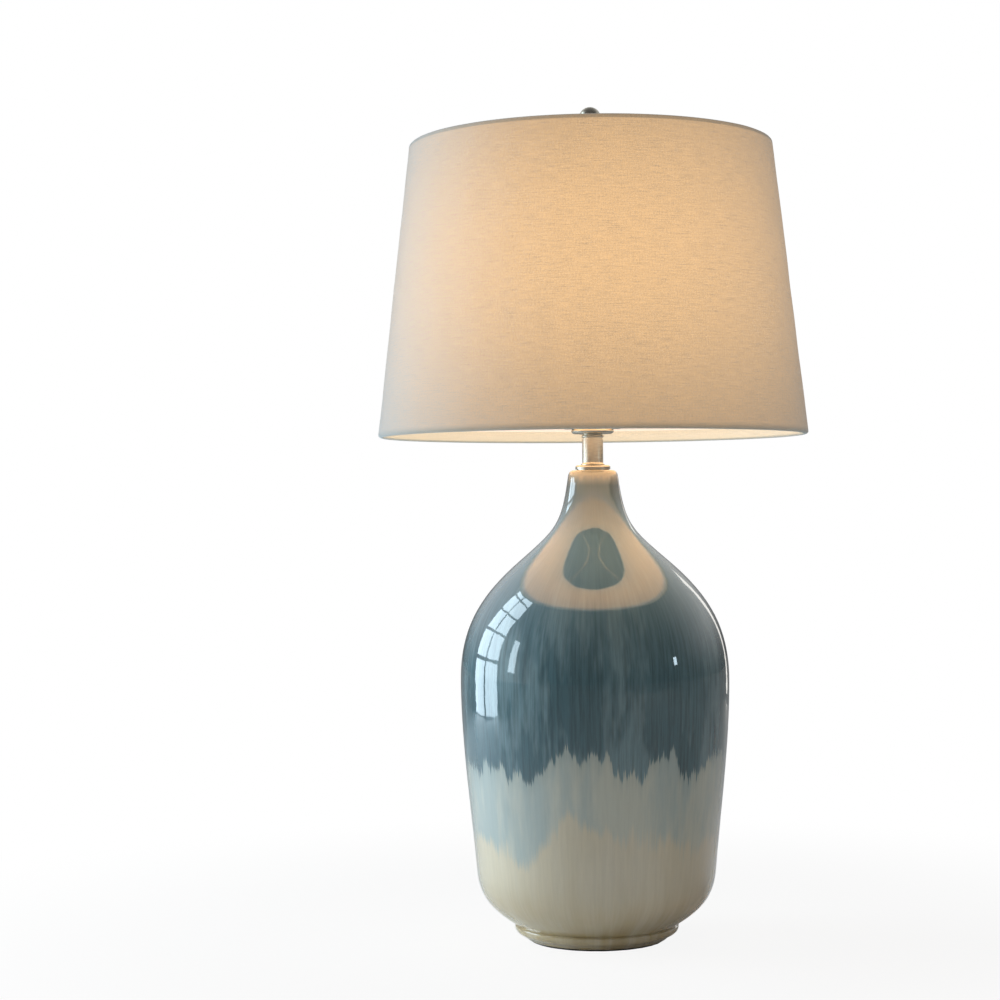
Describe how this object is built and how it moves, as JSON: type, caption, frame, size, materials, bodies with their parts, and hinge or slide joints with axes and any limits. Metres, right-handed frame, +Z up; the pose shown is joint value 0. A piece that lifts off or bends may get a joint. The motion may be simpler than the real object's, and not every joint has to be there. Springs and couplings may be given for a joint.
{
  "type": "table lamp",
  "caption": "Table lamp: tall glazed ceramic jug body on a felted foot, metal neck, screw bulb and turn switch, wire harp, and a tapered linen drum shade under a ball finial.",
  "frame": {"origin": "centre of the underside of the felt pad, on the table", "axes": "+Z up along the lamp axis, -Y to the front where the switch knob is, +X to the right seen from the front"},
  "size_m": [0.406, 0.4058, 0.7885],
  "materials": {
    "glaze": "gloss drip glaze, slate blue over beige",
    "felt": "pressed felt",
    "bushing_plastic": "moulded",
    "zinc_steel": "zinc plated",
    "nickel": "brushed nickel plate",
    "fibre_sleeve": "pressed fibre",
    "socket_moulding": "moulded, dull",
    "brass": "plain",
    "knob_plastic": "moulded, satin",
    "bulb_dome": "frosted white, lit",
    "bulb_housing": "moulded, satin",
    "bulb_base_metal": "rolled",
    "bulb_tip_glass": "black",
    "linen": "plain weave with slubs",
    "liner_film": "white styrene film",
    "white_wire": "white paint"
  },
  "bodies": {
    "lamp_base": {"ceramic_body": "glaze", "felt_base_pad": "felt", "pipe_end_bushing": "bushing_plastic", "bottom_hex_nut": "zinc_steel", "bottom_lock_washer": "zinc_steel", "bottom_washer": "zinc_steel", "threaded_pipe": "zinc_steel", "vase_cap": "nickel", "neck_tube": "nickel", "neck_collar": "nickel", "neck_disc": "nickel", "harp_saddle": "nickel", "saddle_lock_nut": "zinc_steel", "harp_bow": "nickel", "socket_cap": "nickel", "socket_set_screw": "zinc_steel", "socket_shell": "nickel", "socket_insulator": "fibre_sleeve", "socket_interior": "socket_moulding", "terminal_screws": "brass", "socket_screw_shell": "brass", "socket_contact": "brass"},
    "sleeve_left": {"harp_sleeve_left": "nickel"},
    "sleeve_right": {"harp_sleeve_right": "nickel"},
    "switch": {"switch_knob": "knob_plastic", "switch_stem": "zinc_steel"},
    "bulb": {"bulb_dome": "bulb_dome", "bulb_housing": "bulb_housing", "bulb_screw_base": "bulb_base_metal", "bulb_tip_insulator": "bulb_tip_glass", "bulb_tip_contact": "bulb_base_metal"},
    "shade": {"shade_linen_cover": "linen", "shade_liner": "liner_film", "shade_top_ring": "white_wire", "shade_bottom_ring": "white_wire", "spider_arms": "white_wire", "spider_washer": "white_wire", "harp_stud": "nickel"},
    "finial": {"finial": "nickel"}
  },
  "joints": [
    {"name": "shade_swivel", "type": "hinge", "parent": "lamp_base", "child": "shade", "pos_m": [0, 0, 0.7388], "axis": [0, 0, 1], "continuous": true},
    {"name": "finial_turn", "type": "hinge", "parent": "shade", "child": "finial", "pos_m": [0, 0, 0.7404], "axis": [0, 0, 1], "continuous": true},
    {"name": "switch_knob_turn", "type": "hinge", "parent": "lamp_base", "child": "switch", "pos_m": [0, -0.02, 0.5143], "axis": [0, -1, 0], "continuous": true},
    {"name": "bulb_turn", "type": "hinge", "parent": "lamp_base", "child": "bulb", "pos_m": [0, 0, 0.54], "axis": [0, 0, 1], "continuous": true},
    {"name": "sleeve_left_slide", "type": "slide", "parent": "lamp_base", "child": "sleeve_left", "axis": [0, 0, 1], "range_m": [0, 0.012]},
    {"name": "sleeve_right_slide", "type": "slide", "parent": "lamp_base", "child": "sleeve_right", "axis": [0, 0, 1], "range_m": [0, 0.012]}
  ]
}
